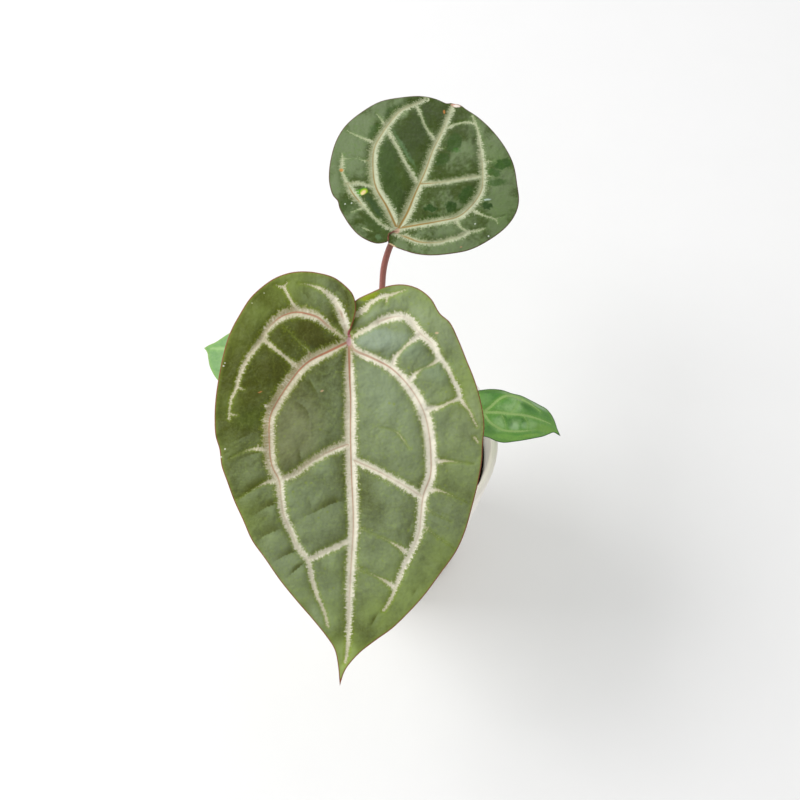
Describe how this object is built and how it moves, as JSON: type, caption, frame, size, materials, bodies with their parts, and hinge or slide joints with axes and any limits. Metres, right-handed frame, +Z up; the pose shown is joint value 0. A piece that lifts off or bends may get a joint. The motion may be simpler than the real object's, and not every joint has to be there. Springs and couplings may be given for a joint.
{
  "type": "potted anthurium",
  "caption": "Young velvet-leaved anthurium with pale net veins: broad heart-shaped blades on slim stalks in a plain tapered white pot of coarse mix.",
  "frame": {"origin": "middle of the pot's flat base", "axes": "+Z up; the large blade hangs towards -Y and the rounder blade behind reaches towards +Y; +X is to the right of a viewer who faces the large blade"},
  "size_m": [0.1843, 0.3014, 0.2231],
  "materials": {
    "pot": "matt white, fine even surface",
    "soil": "rough mix of bark chips, fibre and pale perlite",
    "crown": "green-brown stem with ringed leaf scars",
    "cataphyll": "dry papery sheath",
    "petiole": "smooth red-brown stalk",
    "young_petiole": "smooth green stalk flushed with red",
    "blade": "velvety olive green with cream feathered veins and a red-brown margin",
    "dark_blade": "satin dark green with pale green-cream veins",
    "young_blade": "glossy bright green with lighter veins"
  },
  "bodies": {
    "root": {"pot": "pot", "soil": "soil", "crown": "crown", "cataphyll_front": "cataphyll", "cataphyll_back": "cataphyll", "petiole_main": "petiole", "petiole_top": "petiole", "petiole_right": "young_petiole", "petiole_left": "young_petiole", "blade_main": "blade", "blade_top": "dark_blade", "blade_right": "young_blade", "blade_left": "young_blade"}
  },
  "joints": []
}
